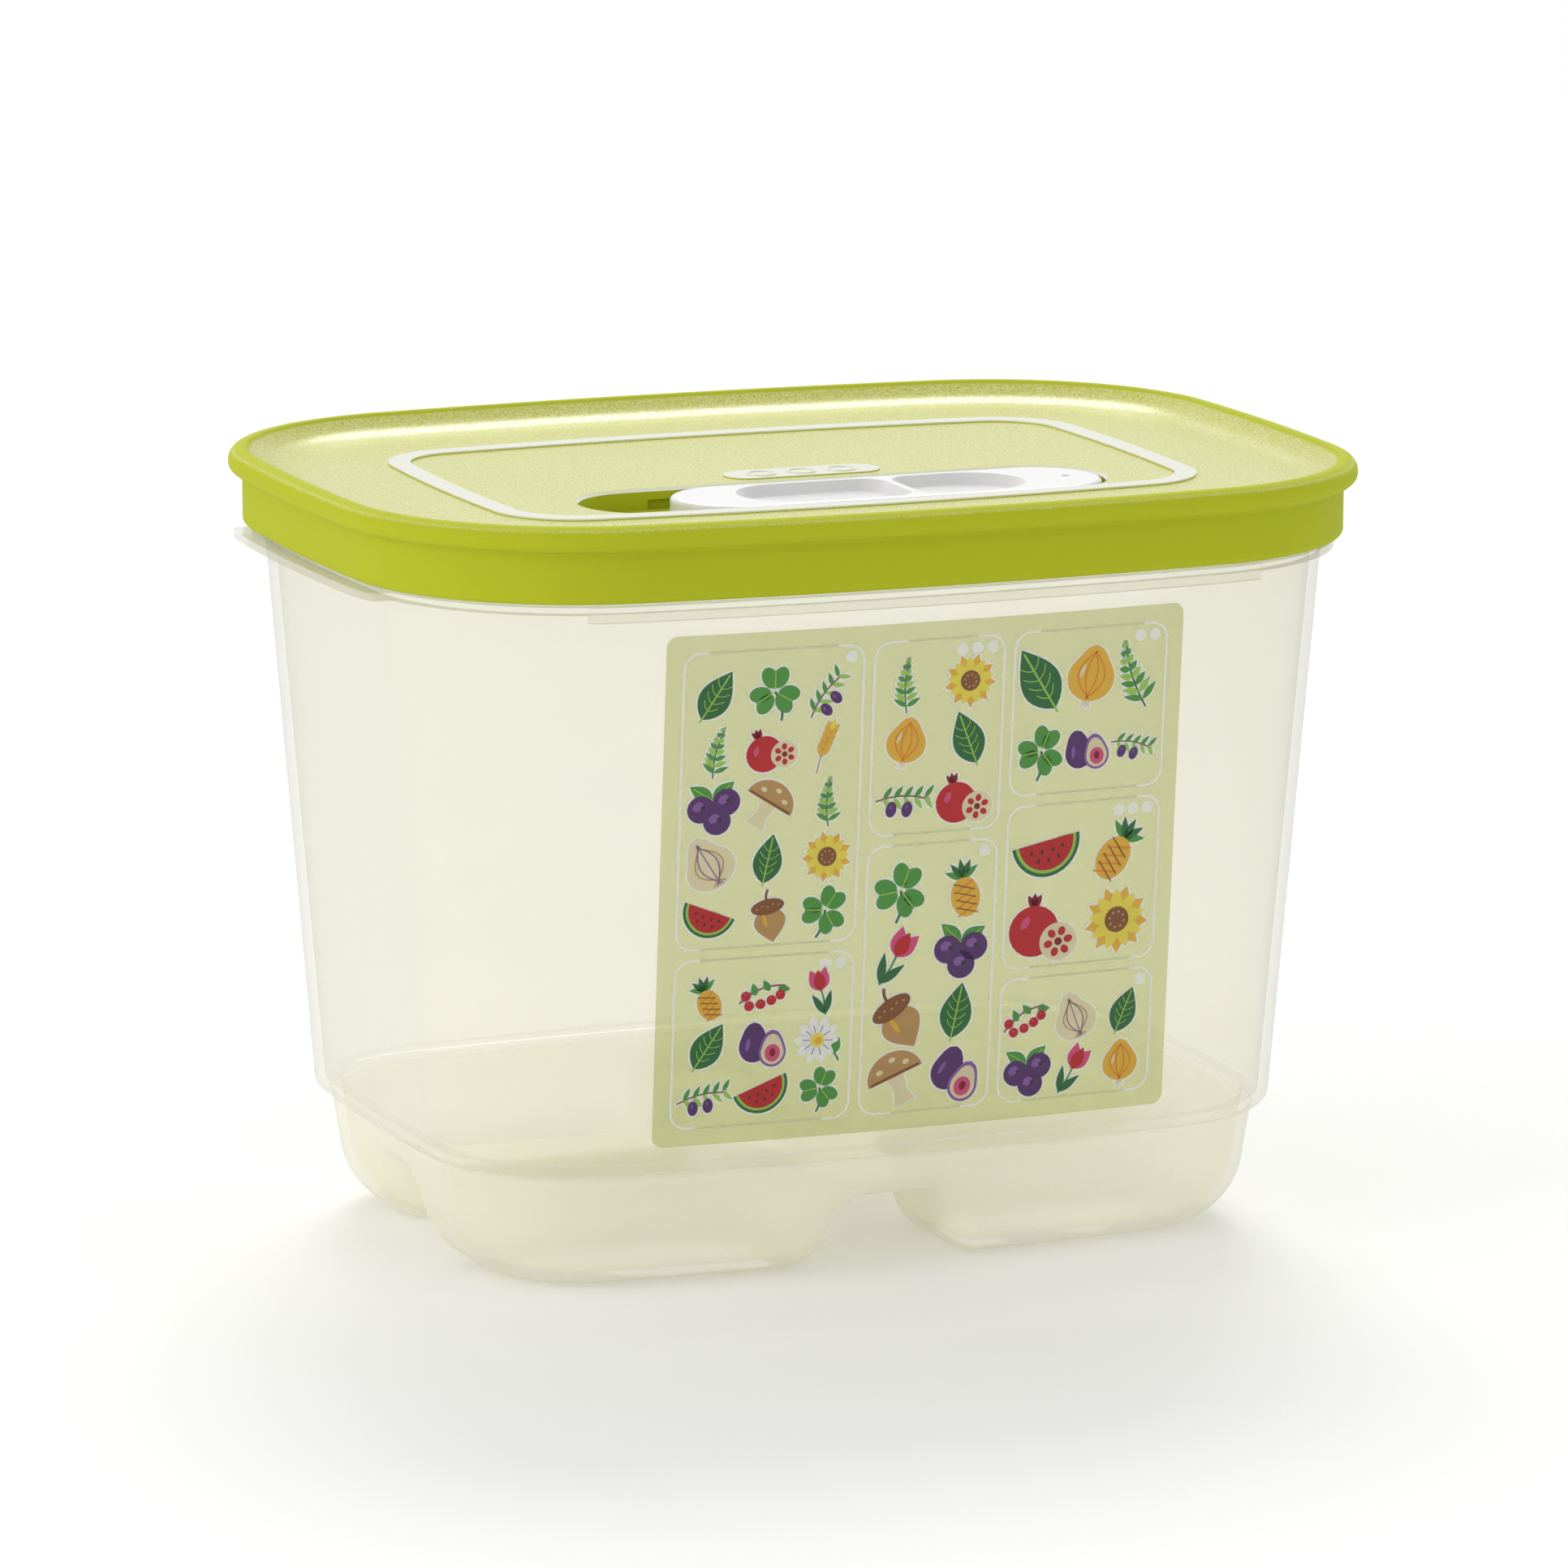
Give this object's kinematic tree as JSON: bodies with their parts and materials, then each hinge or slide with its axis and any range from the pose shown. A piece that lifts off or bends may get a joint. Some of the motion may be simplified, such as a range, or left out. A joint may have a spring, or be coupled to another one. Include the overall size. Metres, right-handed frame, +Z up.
{
  "type": "produce keeper",
  "caption": "Clear rectangular food tub on feet, with a lift-off lid that has a sliding vent, for storing fruit and vegetables.",
  "frame": {"origin": "middle of the keeper's box, on the surface that its four feet stand on", "axes": "+X right along the long side, -Y towards the printed wall, +Z up through the lid"},
  "size_m": [0.195, 0.147, 0.142],
  "materials": {
    "clear_tub": "clear slightly milky moulded plastic, frosted below the step",
    "printed_film": "thin frosted film with a printed storage guide",
    "lime_lid": "lime plastic with a fine grain and polished details",
    "white_slider": "smooth white moulded plastic",
    "soft_seal": "soft pale seal"
  },
  "bodies": {
    "tub": {"tub": "clear_tub", "storage_guide": "printed_film"},
    "lid": {"lid": "lime_lid"},
    "slider": {"vent_slider": "white_slider", "slider_seal": "soft_seal"}
  },
  "joints": [
    {"name": "lid_lift", "type": "slide", "parent": "tub", "child": "lid", "axis": [0, 0, 1], "range_m": [0, 0.12]},
    {"name": "vent_slide", "type": "slide", "parent": "lid", "child": "slider", "axis": [-1, 0, 0], "range_m": [0, 0.0168]}
  ]
}
